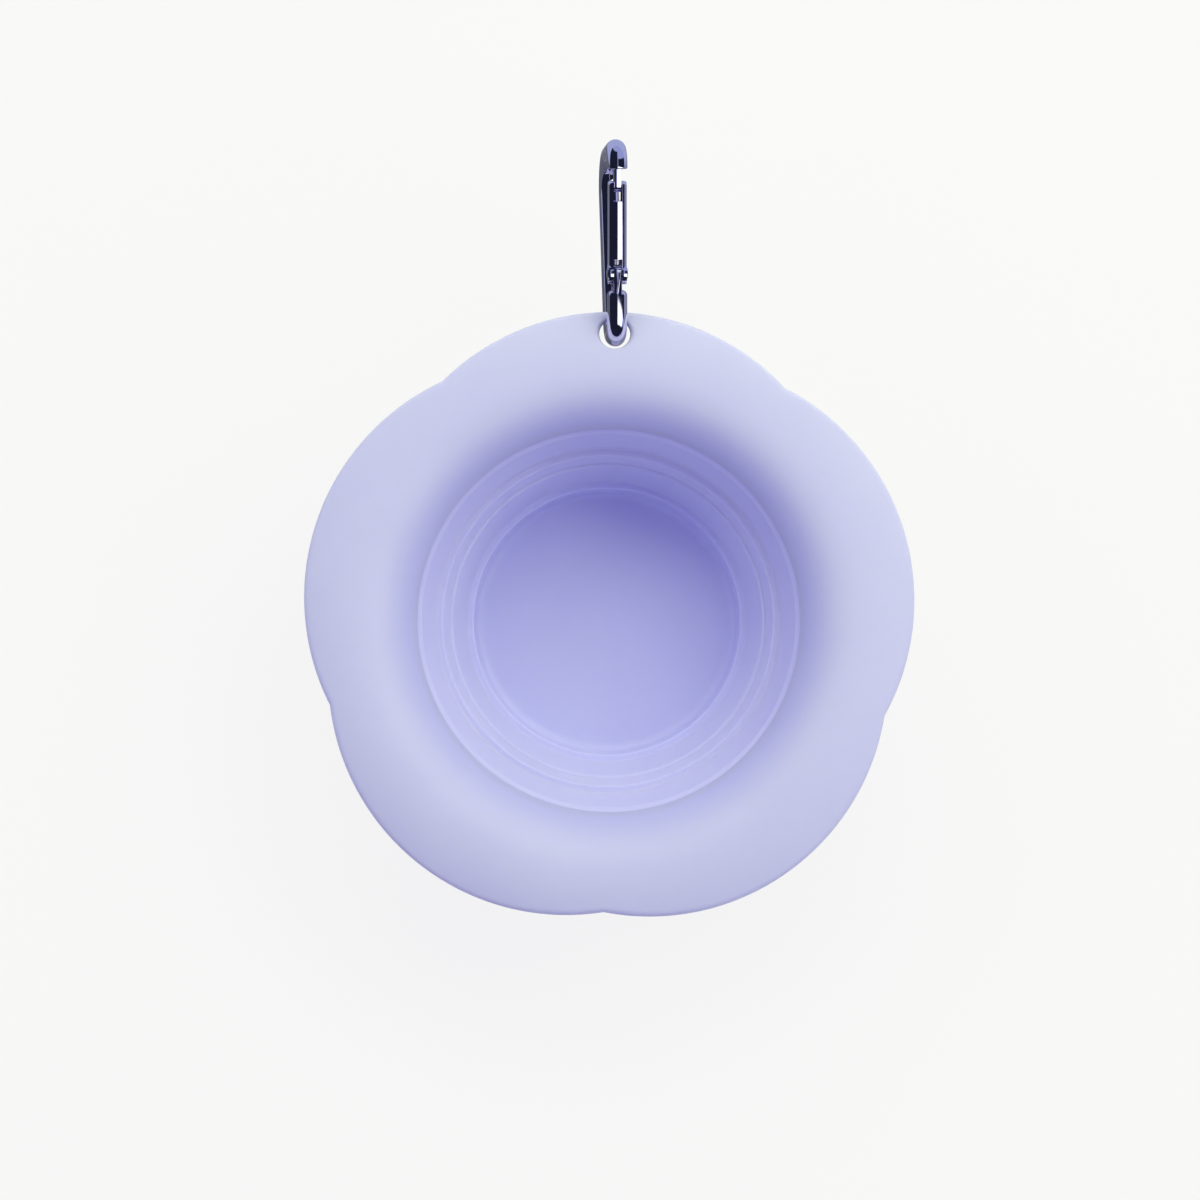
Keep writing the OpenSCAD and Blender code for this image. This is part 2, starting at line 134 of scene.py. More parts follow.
class NodeBench:
    """Builds one node tree."""

    def __init__(self, tree: bpy.types.NodeTree) -> None:
        """Empties the tree that it is given."""
        self.tree = tree
        tree.nodes.clear()

    def node(
        self, kind: str, settings: Optional[dict] = None, sockets: Optional[dict] = None
    ) -> bpy.types.Node:
        """Adds a node.

        Args:
            kind: Blender's name of the node's type.
            settings: properties of the node.
            sockets: values or links of its inputs, by name or number.

        Returns:
            The new node.
        """
        made = self.tree.nodes.new(kind)
        for name, value in (settings or {}).items():
            setattr(made, name, value)
        for name, value in (sockets or {}).items():
            target = made.inputs[name]
            if isinstance(value, Shade):
                self.tree.links.new(value.socket, target)
            elif isinstance(value, bpy.types.NodeSocket):
                self.tree.links.new(value, target)
            else:
                target.default_value = value
        return made

    def value(
        self, kind: str, output: str, settings: Optional[dict] = None,
        sockets: Optional[dict] = None,
    ) -> Shade:
        """Adds a node and wraps one of its outputs, given by name."""
        return Shade(self, self.node(kind, settings, sockets).outputs[output])

    def axes(self, vector: Shade, names: str) -> list[Shade]:
        """Some of a vector's parts, by their letters."""
        parts = self.node("ShaderNodeSeparateXYZ", None, {0: vector})
        return [Shade(self, parts.outputs[name]) for name in names]

    def surface(self, shader: bpy.types.Node) -> None:
        """Joins a shader to the output of a material's tree."""
        self.node("ShaderNodeOutputMaterial", None, {"Surface": shader.outputs[0]})

    def maths(self, operation: str, first: Number, second: Number) -> Shade:
        """Adds a Math node for two values."""
        sockets = {0: first, 1: second}
        return self.value("ShaderNodeMath", "Value", {"operation": operation}, sockets)

    def mix(self, factor: Number, first: object, second: object) -> Shade:
        """Mixes two colours.

        Args:
            factor: the share of the second colour.
            first: the first colour, a link or three numbers.
            second: the second colour, a link or three numbers.

        Returns:
            The mixed colour.
        """
        ends = [(*c, 1.0) if isinstance(c, tuple) else c for c in (first, second)]
        sockets = {0: factor, 6: ends[0], 7: ends[1]}
        made = self.node("ShaderNodeMix", {"data_type": "RGBA"}, sockets)
        return Shade(self, made.outputs[2])

    def noise(self, place: Shade, scale: float, detail: float = 2.0, rough: float = 0.5) -> Shade:
        """A noise value from 0 to 1, with its scale in waves per metre."""
        sockets = {"Vector": place, "Scale": scale, "Detail": detail, "Roughness": rough}
        return self.value("ShaderNodeTexNoise", "Fac", {"noise_dimensions": "3D"}, sockets)

    def place(self, stretch: Place = (1.0, 1.0, 1.0)) -> Shade:
        """The object's own coordinates, scaled along each axis."""
        raw = self.value("ShaderNodeTexCoord", "Object")
        return self.value("ShaderNodeMapping", "Vector", None, {"Vector": raw, "Scale": stretch})

    def step(self, value: Shade, edge: float, soft: float) -> Shade:
        """Goes softly from 0 to 1 as a value passes an edge."""
        ends = {"Value": value, "From Min": edge - soft, "From Max": edge + soft}
        settings = {"interpolation_type": "SMOOTHSTEP"}
        return self.value("ShaderNodeMapRange", "Result", settings, ends)

    def within(self, value: Shade, low: float, high: float, soft: float) -> Shade:
        """1 where a value is between two edges, and 0 elsewhere."""
        return self.step(value, low, soft) * (1.0 - self.step(value, high, soft))

    def bump(
        self, height: Shade, distance: float, strength: float, under: Optional[Shade] = None
    ) -> Shade:
        """A bumped normal.

        Args:
            height: the height of the bumps, from 0 to 1.
            distance: the height that 1 stands for, in metres.
            strength: how far the bumps turn the normal.
            under: a normal that they are laid over.

        Returns:
            The normal.
        """
        sockets = {"Height": height, "Distance": distance, "Strength": strength}
        if under is not None:
            sockets["Normal"] = under
        return self.value("ShaderNodeBump", "Normal", None, sockets)


def fresh_material(name: str) -> tuple[bpy.types.Material, NodeBench]:
    """Makes an empty material.

    Args:
        name: its name.

    Returns:
        The material and the bench of its node tree.
    """
    made = bpy.data.materials.new(name)
    made.use_nodes = True
    return made, NodeBench(made.node_tree)


@dataclass(frozen=True)
class Silicone:
    """Soft matt silicone: a cloudy tint, a moulded grain and light that spreads under the skin."""

    name: str = "silicone"
    tint: Colour = (0.510, 0.522, 0.765)
    deep: Colour = (0.478, 0.490, 0.745)
    # painted shade: a darker colour round the inside of the lip, standing in for the shade of its
    # groove
    painted_throat_shade: Optional[Colour] = None
    painted_shade_radius: Point = (0.0525, 0.0055)
    spread: float = 0.0012
    spread_share: float = 0.35
    spread_tint: Colour = (0.9, 0.9, 1.25)
    detail: float = 3.0
    cloud_scale: float = 42.0
    wave_scale: float = 252.0
    wave_detail: float = 1.0
    wave_height: float = 0.000044
    wave_strength: float = 0.5
    grain_scale: float = 2600.0
    grain_rough: float = 0.6
    grain_height: float = 0.000022
    grain_strength: float = 0.45
    rough: float = 0.44
    rough_grain: float = 0.10
    rough_cloud: float = 0.06
    ior: float = 1.41
    shine: float = 0.42
    sheen: float = 0.06
    sheen_rough: float = 0.45

    def material(self) -> bpy.types.Material:
        """Makes the material.

        Returns:
            The silicone, with a painted shade, darker round the inside of the lip, laid in where it
            has one.
        """
        made, bench = fresh_material(self.name)
        place = bench.place()
        cloud = bench.noise(place, self.cloud_scale, self.detail)
        grain = bench.noise(place, self.grain_scale, self.detail, self.grain_rough)
        wave = bench.noise(place, self.wave_scale, self.wave_detail)
        skin = bench.bump(wave, self.wave_height, self.wave_strength)
        skin = bench.bump(grain, self.grain_height, self.grain_strength, skin)
        colour = bench.mix(cloud, self.tint, self.deep)
        # Painted shade: the colour darkens inside a radius round the lip, standing in for the shade
        # there.
        if self.painted_throat_shade is not None:
            flat = bench.place((1, 1, 0))
            reach = bench.value("ShaderNodeVectorMath", "Value", {"operation": "LENGTH"}, {0: flat})
            colour = bench.mix(bench.step(reach, *self.painted_shade_radius), self.painted_throat_shade, colour)
        bench.surface(bench.node("ShaderNodeBsdfPrincipled", {"subsurface_method": "RANDOM_WALK"}, {
            "Base Color": colour,
            "Roughness": grain * self.rough_grain + cloud * self.rough_cloud + self.rough,
            "Normal": skin,
            "IOR": self.ior,
            "Specular IOR Level": self.shine,
            "Subsurface Weight": self.spread_share,
            "Subsurface Radius": self.spread_tint,
            "Subsurface Scale": self.spread,
            "Sheen Weight": self.sheen,
            "Sheen Roughness": self.sheen_rough,
        }))
        return made


@dataclass(frozen=True)
class Plating:
    """Bright plating on cast metal: polishing lines along the hook, faint waves and haze."""

    name: str = "plating"
    tint: Colour = (0.80, 0.79, 0.90)
    shadow_tint: Colour = (0.66, 0.64, 0.84)
    rough: float = 0.03
    haze_scale: float = 128.0
    haze_detail: float = 4.0
    haze_rough: float = 0.6
    haze_power: float = 2.0
    haze_dulls: float = 0.10
    speck_scale: float = 2700.0
    speck_dulls: float = 0.03
    wave_scale: float = 160.0
    wave_detail: float = 1.5
    wave_height: float = 0.00006
    wave_strength: float = 0.5
    line_scale: float = 3600.0
    line_stretch: Place = (1.0, 0.06, 1.0)
    line_height: float = 0.0000035
    line_strength: float = 0.35

    def material(self) -> bpy.types.Material:
        """Makes the material.

        Returns:
            The plating.
        """
        made, bench = fresh_material(self.name)
        place = bench.place()
        haze = bench.noise(place, self.haze_scale, self.haze_detail, self.haze_rough)
        wave = bench.noise(place, self.wave_scale, self.wave_detail)
        lines = bench.noise(bench.place(self.line_stretch), self.line_scale)
        specks = bench.noise(place, self.speck_scale, 1.0)
        skin = bench.bump(wave, self.wave_height, self.wave_strength)
        dull = (haze ** self.haze_power) * self.haze_dulls + specks * self.speck_dulls
        bench.surface(bench.node("ShaderNodeBsdfPrincipled", None, {
            "Base Color": bench.mix(haze, self.tint, self.shadow_tint),
            "Metallic": 1.0,
            "Roughness": dull + self.rough,
            "Normal": bench.bump(lines, self.line_height, self.line_strength, skin),
        }))
        return made


@dataclass(frozen=True)
class Steel:
    """Drawn steel of the small parts: fine turning lines and a duller, uneven shine."""

    name: str = "steel"
    tint: Colour = (0.62, 0.62, 0.68)
    worn: Colour = (0.50, 0.49, 0.55)
    rough: float = 0.24
    patch_scale: float = 900.0
    patch_detail: float = 3.0
    patch_dulls: float = 0.16
    line_scale: float = 9000.0
    line_stretch: Place = (0.05, 1.0, 1.0)
    line_height: float = 0.000003
    line_strength: float = 0.4

    def material(self) -> bpy.types.Material:
        """Makes the material.

        Returns:
            The steel.
        """
        made, bench = fresh_material(self.name)
        patch = bench.noise(bench.place(), self.patch_scale, self.patch_detail)
        lines = bench.noise(bench.place(self.line_stretch), self.line_scale)
        bench.surface(bench.node("ShaderNodeBsdfPrincipled", None, {
            "Base Color": bench.mix(patch, self.tint, self.worn),
            "Metallic": 1.0,
            "Roughness": patch * self.patch_dulls + self.rough,
            "Normal": bench.bump(lines, self.line_height, self.line_strength),
        }))
        return made


def rounded(corners: Sequence[Corner], steps: int = 6) -> Profile:
    """Rounds the corners of a closed outline.

    Args:
        corners: each corner's two coordinates and its radius.
        steps: parts of each rounding.

    Returns:
        The points of the outline.
    """
    made: Profile = []
    count = len(corners)
    for i, (x, y, radius) in enumerate(corners):
        if radius == 0:
            made.append((x, y))
            continue
        here = Vector((x, y))
        back = (Vector(corners[i - 1][:2]) - here).normalized()
        ahead = (Vector(corners[(i + 1) % count][:2]) - here).normalized()
        half = back.angle(ahead) / 2
        centre = here + (back + ahead).normalized() * radius / math.sin(half)
        start = here + back * radius / math.tan(half) - centre
        end = here + ahead * radius / math.tan(half) - centre
        for k in range(steps + 1):
            spoke = (start * (steps - k) + end * k).normalized() * radius
            made.append(tuple(centre + spoke))
    return made


def shares(parts: int) -> list[float]:
    """The ends of equal parts of a length, from 0 to 1."""
    return [k / parts for k in range(parts + 1)]


def divided(profile: Profile, longest: float) -> Profile:
    """Adds points to a closed outline.

    Args:
        profile: the points of the outline.
        longest: the length that no side is to pass.

    Returns:
        The outline with the added points.
    """
    made: Profile = []
    for (x0, y0), (x1, y1) in zip(profile, profile[1:] + profile[:1]):
        parts = max(1, math.ceil(math.hypot(x1 - x0, y1 - y0) / longest))
        made += [(x0 + (x1 - x0) * t, y0 + (y1 - y0) * t) for t in shares(parts)[:-1]]
    return made


class Bench:
    """Modelling steps that the pieces share. Their lengths are in millimetres."""

    @staticmethod
    def fresh() -> None:
        """Clears the selection before a new piece is started."""
        if bpy.context.object is not None and bpy.context.object.mode != "OBJECT":
            bpy.ops.object.mode_set(mode="OBJECT")
        bpy.ops.object.select_all(action="DESELECT")

    @staticmethod
    def only(piece: bpy.types.Object) -> None:
        """Makes a piece the only selected one and the active one.

        Args:
            piece: the piece.
        """
        Bench.fresh()
        piece.select_set(True)
        bpy.context.view_layer.objects.active = piece

    @staticmethod
    def edit() -> None:
        """Starts to edit the active piece, with all of it selected."""
        bpy.ops.object.mode_set(mode="EDIT")
        bpy.ops.mesh.select_all(action="SELECT")

    @staticmethod
    def lathe(name: str, profile: Profile, steps: int) -> bpy.types.Object:
        """Draws an outline point by point, closed or from axis to axis, and spins it round Z.

        Args:
            name: the piece's name.
            profile: radius and height of each point.
            steps: parts of the turn.

        Returns:
            The turned piece.
        """
        Bench.fresh()
        bpy.ops.mesh.primitive_circle_add(vertices=3, radius=MM)
        piece = bpy.context.object
        piece.name = name
        Bench.edit()
        bpy.ops.mesh.merge(type="CENTER")
        points = [Vector((r, 0.0, z)) * MM for r, z in profile]
        bpy.ops.transform.translate(value=points[0])
        on_axis = profile[0][0] == 0 and profile[-1][0] == 0
        for here, there in zip(points, points[1:] if on_axis else points[1:] + points[:1]):
            bpy.ops.mesh.extrude_vertices_move(TRANSFORM_OT_translate={"value": there - here})
        Bench.merge()
        bpy.ops.mesh.spin(
            steps=steps, angle=math.tau, center=(0, 0, 0), axis=(0, 0, 1), dupli=False
        )
        Bench.close(False)
        return piece

    @staticmethod
    def merge() -> None:
        """Merges the doubled points of the piece that is being edited, and selects it all."""
        bpy.ops.mesh.select_all(action="SELECT")
        bpy.ops.mesh.remove_doubles(threshold=SAME_PLACE)
        bpy.ops.mesh.select_all(action="SELECT")

    @staticmethod
    def close(fill: bool) -> None:
        """Ends the editing of a piece, with its points merged and its faces turned outwards.

        Args:
            fill: whether its open ends are filled first.
        """
        if fill:
            bpy.ops.mesh.select_all(action="SELECT")
            bpy.ops.mesh.fill_holes(sides=0)
        Bench.merge()
        bpy.ops.mesh.normals_make_consistent(inside=False)
        bpy.ops.object.mode_set(mode="OBJECT")

    @staticmethod
    def block(name: str, low: Place, high: Place) -> bpy.types.Object:
        """Makes a block.

        Args:
            name: the piece's name.
            low: its lowest corner.
            high: its highest corner.

        Returns:
            The block.
        """
        Bench.fresh()
        bpy.ops.mesh.primitive_cube_add(size=1.0)
        piece = bpy.context.object
        piece.name = name
        Bench.edit()
        size = [(b - a) * MM for a, b in zip(low, high)]
        bpy.ops.transform.resize(value=size, center_override=(0, 0, 0))
        bpy.ops.transform.translate(value=[(a + b) / 2 * MM for a, b in zip(low, high)])
        bpy.ops.object.mode_set(mode="OBJECT")
        return piece

    @staticmethod
    def round_corners(
        piece: bpy.types.Object, chosen: Iterable[int], radius: float, segments: int = 10
    ) -> None:
        """Rounds some of a piece's edges.

        Args:
            piece: the piece.
            chosen: the numbers of the edges.
            radius: their radius.
            segments: parts of each rounding.
        """
        Bench.only(piece)
        bpy.ops.object.mode_set(mode="EDIT")
        bpy.ops.mesh.select_mode(type="EDGE")
        bpy.ops.mesh.select_all(action="DESELECT")
        bpy.ops.object.mode_set(mode="OBJECT")
        for number in chosen:
            piece.data.edges[number].select = True
        bpy.ops.object.mode_set(mode="EDIT")
        bpy.ops.mesh.bevel(offset=radius * MM, segments=segments, affect="EDGES")
        bpy.ops.mesh.select_mode(type="VERT")
        bpy.ops.object.mode_set(mode="OBJECT")

    @staticmethod
    def apply(piece: bpy.types.Object, kind: str, **settings: object) -> None:
        """Adds a modifier and applies it.

        Args:
            piece: the piece.
            kind: Blender's name of the modifier's type.
            settings: the modifier's properties.
        """
        Bench.only(piece)
        modifier = piece.modifiers.new("step", kind)
        for name, value in settings.items():
            setattr(modifier, name, value)
        bpy.ops.object.modifier_apply(modifier=modifier.name)

    @staticmethod
    def soften(piece: bpy.types.Object, width: float, sharper: float) -> None:
        """Bevels the edges of a piece that are sharper than an angle in degrees."""
        limit = {"limit_method": "ANGLE", "angle_limit": math.radians(sharper)}
        Bench.apply(piece, "BEVEL", width=width * MM, segments=3, **limit)

    @staticmethod
    def combine(piece: bpy.types.Object, tool: bpy.types.Object, cut: Cut) -> None:
        """Joins a tool to a piece, cuts it away or keeps what both share, and removes the tool."""
        Bench.apply(piece, "BOOLEAN", operation=cut.value, object=tool, solver="EXACT")
        bpy.data.objects.remove(tool)

    @staticmethod
    def put(piece: bpy.types.Object, matrix: Matrix) -> bpy.types.Object:
        """Moves a piece's mesh to its place, with its object left at the origin.

        Args:
            piece: the piece.
            matrix: its place.

        Returns:
            The piece.
        """
        Bench.only(piece)
        piece.matrix_world = matrix
        Bench.settle()
        return piece

    @staticmethod
    def settle() -> None:
        """Moves the place of the selected object into its mesh."""
        bpy.ops.object.transform_apply(location=True, rotation=True, scale=True)

    @staticmethod
    def smooth(piece: bpy.types.Object, degrees: float) -> None:
        """Shades a piece smooth, with edges sharper than an angle left hard."""
        Bench.only(piece)
        bpy.ops.object.shade_smooth_by_angle(angle=math.radians(degrees))


def dress(
    piece: bpy.types.Object, finish: bpy.types.Material, node: str,
    body: Optional[Body] = None,
) -> bpy.types.Object:
    """Gives a piece its finish and puts it in the place of its CAD node.

    Args:
        piece: the finished piece.
        finish: its material.
        node: the CAD node that it stands for.
        body: the body that it rides on, if it has one.

    Returns:
        The piece.
    """
    piece.data.materials.clear()
    piece.data.materials.append(finish)
    if body is not None:
        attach(piece, body.value)
    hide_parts(node)
    LOG.info("%s: %d faces", piece.name, len(piece.data.polygons))
    return piece


@dataclass
class PetalRim:
    """The wide rim: two round slopes over a crest, cut to petals, with the hook's hole in one."""

    petals: int = 5
    petal_r: float = 58.05
    petal_shift: float = 17.7
    crest_r: float = 61.4
    crest_z: float = 49.9645
    outer_bend: float = 36.0
    inner_bend: float = 17.5
    lip_r: float = 47.9
    lip_z: float = 43.6
    lip_tip: float = 47.0
    lip_round: float = 0.25
    lip_slant: float = 0.25
    wall: float = 2.4
    nose: float = 1.6
    parting: float = 0.05
    hole_r: float = 3.8
    hole_y: float = 70.2
    hole_round: float = 1.1
    hole_flare: float = 1.35
    hole_sink: float = 0.03
    hole_parts: int = 8
    hole_sides: int = 96
    steps: int = 720
    lip_parts: int = 4
    inner_parts: int = 22
    outer_parts: int = 18
    under_parts: int = 14
    foot_parts: int = 12
    seat_parts: int = 3
    nose_angles: tuple[int, ...] = (76, 62, 48, 34, 22, 12, 6)
    parting_angles: tuple[int, int] = (2, -2)
    hard_angle: float = 40.0

    @property
    def mid_bend(self) -> float:
        """Bend radius of the middle of the outer sheet."""
        return self.outer_bend - self.wall / 2

    def outline(self, angle: float) -> float:
        """Radius of the petals' edge.

        Args:
            angle: the angle round the axis, in radians.

        Returns:
            The radius.
        """
        pitch = math.tau / self.petals
        off = (angle - math.pi / 2 + pitch / 2) % pitch - pitch / 2
        side = self.petal_shift * math.sin(off)
        return self.petal_shift * math.cos(off) + math.sqrt(self.petal_r ** 2 - side ** 2)

    def slope(self, radius: float) -> float:
        """Slope of the outer sheet at a radius of its middle, in radians."""
        return math.asin((radius - self.crest_r) / self.mid_bend)

    def middle(self, slope: float) -> float:
        """Height of the middle of the outer sheet where it has a slope."""
        return self.crest_z - self.outer_bend + self.mid_bend * math.cos(slope)

    def _arc(self, bend: float, under: float, angle: float, side: int) -> Point:
        """A point on one of the slopes.

        Args:
            bend: the slope's bend radius.
            under: the depth under its skin.
            angle: the angle from the crest.
            side: 1 outside the crest and -1 inside it.

        Returns:
            The point's radius and height.
        """
        reach = bend - under
        rise = self.crest_z - bend + reach * math.cos(angle)
        return (self.crest_r + side * reach * math.sin(angle), rise)

    def section(self, edge_r: float) -> Profile:
        """Outline of the rim cut through its axis.

        Args:
            edge_r: radius of the rim's edge there.

        Returns:
            The points, from the lip over the crest to the edge and back underneath.
        """
        nose_r = edge_r - self._nose_reach(edge_r)
        end = self.slope(nose_r)
        lip = math.asin((self.crest_r - self.lip_tip) / self.inner_bend)
        foot_bend = self.inner_bend - self.wall
        foot = math.acos((self.lip_z - self.crest_z + self.inner_bend) / foot_bend)
        start = lip - self.lip_round / self.inner_bend
        corner = self._arc(self.inner_bend, 0, lip, -1)
        first = self._arc(self.inner_bend, 0, start, -1)
        under = (corner[0] + self.lip_round, corner[1] + self.lip_round * self.lip_slant)
        inner, outer, wall = self.inner_bend, self.outer_bend, self.wall
        made = [self._between(under, corner, first, t) for t in shares(self.lip_parts)[:-1]]
        made += [self._arc(inner, 0, start * (1 - t), -1) for t in shares(self.inner_parts)[:-1]]
        made += [self._arc(outer, 0, end * t, 1) for t in shares(self.outer_parts)]
        made += self._nose(nose_r, end)
        made += [self._arc(outer, wall, end * (1 - t), 1) for t in shares(self.under_parts)[:-1]]
        made += [self._arc(inner, wall, foot * t, -1) for t in shares(self.foot_parts)]
        last, seat = made[-1][0], self.lip_r + self.lip_round
        return made + [(last + (seat - last) * t, self.lip_z) for t in shares(self.seat_parts)[1:]]

    def _nose_reach(self, edge_r: float) -> float:
        """How far the round edge stands out from the end of the sheet."""
        end = self.slope(edge_r - self.nose)
        return math.hypot(self.nose * math.cos(end), self.wall / 2 * math.sin(end))

    def _nose(self, nose_r: float, end: float) -> Profile:
        """The round edge, with a fine parting line along its middle.

        Args:
            nose_r: radius of the end of the sheet.
            end: the sheet's slope there.

        Returns:
            The points of the edge from above to below.
        """
        along = Vector((math.cos(end), -math.sin(end)))
        up = Vector((math.sin(end), math.cos(end)))
        middle = Vector((nose_r, self.middle(end)))
        rows = [(a, 0.0) for a in self.nose_angles]
        rows += [(a, self.parting) for a in self.parting_angles]
        rows += [(-a, 0.0) for a in reversed(self.nose_angles)]
        made: Profile = []
        for degrees, proud in rows:
            turn = math.radians(degrees)
            out = along * (self.nose + proud) * math.cos(turn)
            made.append(tuple(middle + out + up * self.wall / 2 * math.sin(turn)))
        return made

    @staticmethod
    def _between(a: Point, bend: Point, b: Point, t: float) -> Point:
        """A point on the round corner from a to b."""
        rows = zip(a, bend, b)
        return tuple((1 - t) ** 2 * p + 2 * t * (1 - t) * q + t * t * r for p, q, r in rows)

    def build(self, finish: bpy.types.Material) -> bpy.types.Object:
        """Turns the rim, draws its edge in to the petals, cuts the hole and dresses it.

        Args:
            finish: its silicone.

        Returns:
            The rim.
        """
        whole = self.section(self.petal_shift + self.petal_r)
        piece = Bench.lathe("petal_rim", whole, self.steps)
        self._draw_petals(piece, np.array(whole))
        self._cut_hole(piece)
        Bench.smooth(piece, self.hard_angle)
        return dress(piece, finish, "flower_rim", Body.RIM)

    def _draw_petals(self, piece: bpy.types.Object, whole: np.ndarray) -> None:
        """Moves each column of the turned rim to the section that its petal has there.

        Args:
            piece: the turned rim.
            whole: the section that it was turned from.
        """
        count = len(piece.data.vertices)
        places = np.zeros(count * 3)
        piece.data.vertices.foreach_get("co", places)
        places = places.reshape(-1, 3) / MM
        radius = np.hypot(places[:, 0], places[:, 1])
        angle = np.arctan2(places[:, 1], places[:, 0])
        column = np.rint(angle / math.tau * self.steps).astype(int) % self.steps
        for number in range(self.steps):
            rows = np.flatnonzero(column == number)
            turn = number * math.tau / self.steps
            shaped = np.array(self.section(self.outline(turn)))
            off = np.abs(radius[rows, None] - whole[None, :, 0])
            off = off + np.abs(places[rows, 2, None] - whole[None, :, 1])
            near = shaped[off.argmin(axis=1)]
            places[rows, 0] = near[:, 0] * math.cos(turn)
            places[rows, 1] = near[:, 0] * math.sin(turn)
            places[rows, 2] = near[:, 1]
        piece.data.vertices.foreach_set("co", (places * MM).ravel())
        piece.data.update()

    def _cut_hole(self, piece: bpy.types.Object) -> None:
        """Cuts the hang hole square to the sheet, with a round lip on both sides.

        Args:
            piece: the rim.
        """
        face = self.wall / 2 - self.hole_sink
        flare = self.hole_r + self.hole_flare
        far = face + self.wall
        low = face - self.hole_round
        arc = [math.radians(270 - 90 * t) for t in shares(self.hole_parts)]
        under = [
            (flare + self.hole_flare * math.cos(a), -low + self.hole_round * math.sin(a))
            for a in arc
        ]
        over = [(r, -z) for r, z in reversed(under)]
        profile = [(0, -far), (flare, -far), *under, *over, (flare, far), (0, far)]
        cutter = Bench.lathe("hole_cutter", profile, self.hole_sides)
        tilt = self.slope(self.hole_y)
        place = Matrix.Translation(Vector((0, self.hole_y, self.middle(tilt))) * MM)
        Bench.put(cutter, place @ Matrix.Rotation(-tilt, 4, "X"))
        Bench.combine(piece, cutter, Cut.CUT)


def turned(
    name: str, corners: Sequence[Corner], longest: float, steps: int = 288, hard: float = 50.0
) -> bpy.types.Object:
    """Turns a zone of the wall.

    Args:
        name: the piece's name.
        corners: radius, height and rounding of each corner of its outline.
        longest: the longest side of its mesh along the outline.
        steps: parts of the turn.
        hard: the angle in degrees over which an edge stays hard.

    Returns:
        The turned piece.
    """
    piece = Bench.lathe(name, divided(rounded(corners), longest), steps)
    Bench.smooth(piece, hard)
    return piece


@dataclass
class Fold:
    """A thin folding band of the wall, with a thinner hinge line at its top and its foot."""

    name: str
    node: str
    foot_in: float
    top_in: float
    hinge_in: float
    z: float
    h: float
    below: Body
    above: Body
    rise: float
    lift: float
    wall: float = 2.2
    hinge_wall: float = 1.1
    hinge_h: float = 1.2
    hinge_round: float = 0.25
    bead: float = 0.45
    ridge_h: float = 0.6
    ridge_round: float = 0.4
    blend_gap: float = 0.2
    longest: float = 0.7

    def corners(self) -> list[Corner]:
        """Corners of the band cut through the axis.

        Returns:
            Each corner's radius and height, and its rounding.
        """
        low, top = self.z + self.hinge_h, self.z + self.h
        high = top - self.hinge_h
        foot_out, top_out = self.foot_in + self.wall, self.top_in + self.wall
        return [
            (self.foot_in + self.hinge_wall, self.z, 0),
            (self.foot_in + self.hinge_wall, low - self.bead / 2, self.hinge_round),
            (foot_out, low, self.bead),
            (top_out, high, 0),
            (self.hinge_in + self.hinge_wall, top, 0),
            (self.hinge_in, top, 0),
            (top_out - self.hinge_wall, high + self.rise + self.lift, self.bead / 2),
            (self.top_in, high + self.rise, self.bead),
            (self.foot_in, self.z + self.ridge_h, self.ridge_round),
            (self.foot_in, self.z, 0),
        ]

    def build(self, finish: bpy.types.Material) -> bpy.types.Object:
        """Turns the band that joins two rigid pieces, and dresses it.

        Args:
            finish: its silicone.

        Returns:
            The band.
        """
        piece = turned(self.name, self.corners(), self.longest)
        dress(piece, finish, self.node)
        top = self.z + self.h - self.hinge_h + min(self.rise, 0.0) - self.blend_gap
        start, end = (0, 0, (self.z + self.hinge_h) * MM), (0, 0, top * MM)
        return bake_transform(piece)


@dataclass
class Ridge:
    """A round ridge on a shoulder of the wall, which runs up into the fold behind it."""

    r: float
    foot: float
    bead: float
    w: float = 1.6
    h: float = 0.6
    back_low: float = 1.0
    back_high: float = 1.1
    front_high: float = 0.3
    front_low: float = -0.05
    climb: float = 1.1
    fillet: float = 0.4

    def corners(self) -> list[Corner]:
        """Corners of the ridge, from its back in the fold to its inner edge.

        Returns:
            Each corner's radius and height, and its rounding.
        """
        top, face = self.foot + self.h, self.r + self.w / 2
        return [
            (face + self.back_low, self.foot, 0),
            (face + self.back_high, top + self.climb, 0),
            (face + self.front_high, top + self.climb, 0),
            (face + self.front_low, top, self.fillet),
            (self.r - self.w / 2, top, self.bead),
        ]


@dataclass
class MiddleRing:
    """The stiff ring between the folds, with a ridge round the top of its inner face."""

    z: float = 25.0
    h: float = 4.4
    ridge_r: float = 42.0
    out_r: float = 45.4
    taper: float = 2.6
    bottom_in: float = 39.5
    bead: float = 0.32
    edge_round: float = 0.2
    longest: float = 0.8

    def build(self, finish: bpy.types.Material) -> bpy.types.Object:
        """Turns the ring and dresses it.

        Args:
            finish: its silicone.

        Returns:
            The ring.
        """
        top = self.z + self.h
        piece = turned("middle_ring_band", [
            (self.bottom_in, self.z, self.bead / 2),
            (self.out_r - self.taper, self.z, self.bead),
            (self.out_r, top, self.edge_round),
            *Ridge(self.ridge_r, top, self.bead).corners(),
        ], self.longest)
        return dress(piece, finish, "middle_ring", Body.RING)


